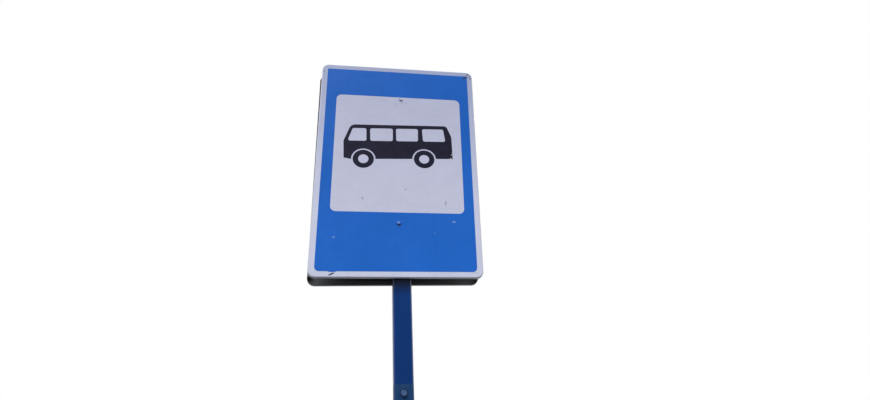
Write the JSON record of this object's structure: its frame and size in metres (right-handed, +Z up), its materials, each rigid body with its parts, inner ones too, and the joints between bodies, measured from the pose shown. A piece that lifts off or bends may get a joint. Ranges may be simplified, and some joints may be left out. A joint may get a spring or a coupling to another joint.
{
  "type": "bus stop sign",
  "caption": "Double-sided bus stop sign: pressed steel panels with blue and white film and a bus symbol, bolted back to back on a square tube post with a base plate.",
  "frame": {"origin": "centre of the base plate's underside, on the post's axis", "axes": "+Z up the post, -Y out of the front panel, +X to the right as the front panel is read"},
  "size_m": [0.7262, 0.3, 3.5308],
  "materials": {
    "post_paint": "dark blue gloss paint, weathered",
    "cap_plastic": "black moulded plastic",
    "panel_paint": "light grey coated sheet steel",
    "rail_steel": "galvanised",
    "white_film": "white reflective film",
    "blue_film": "blue reflective film",
    "black_film": "black film",
    "fastener_zinc": "zinc plated",
    "fastener_painted": "worn blue paint over zinc"
  },
  "bodies": {
    "root": {"base_plate": "post_paint", "gusset_right": "post_paint", "gusset_rear": "post_paint", "gusset_left": "post_paint", "gusset_front": "post_paint", "post": "post_paint", "post_cap": "cap_plastic", "front_panel": "panel_paint", "rear_panel": "panel_paint", "front_rail_upper": "rail_steel", "front_rail_lower": "rail_steel", "rear_rail_upper": "rail_steel", "rear_rail_lower": "rail_steel", "front_white_film": "white_film", "rear_white_film": "white_film", "front_blue_film": "blue_film", "rear_blue_film": "blue_film", "front_symbol": "black_film", "rear_symbol": "black_film", "sign_upper_bolt": "fastener_zinc", "sign_upper_nut": "fastener_zinc", "sign_lower_bolt": "fastener_zinc", "sign_lower_nut": "fastener_zinc", "post_bolt": "fastener_painted", "post_nut": "fastener_painted"}
  },
  "joints": []
}
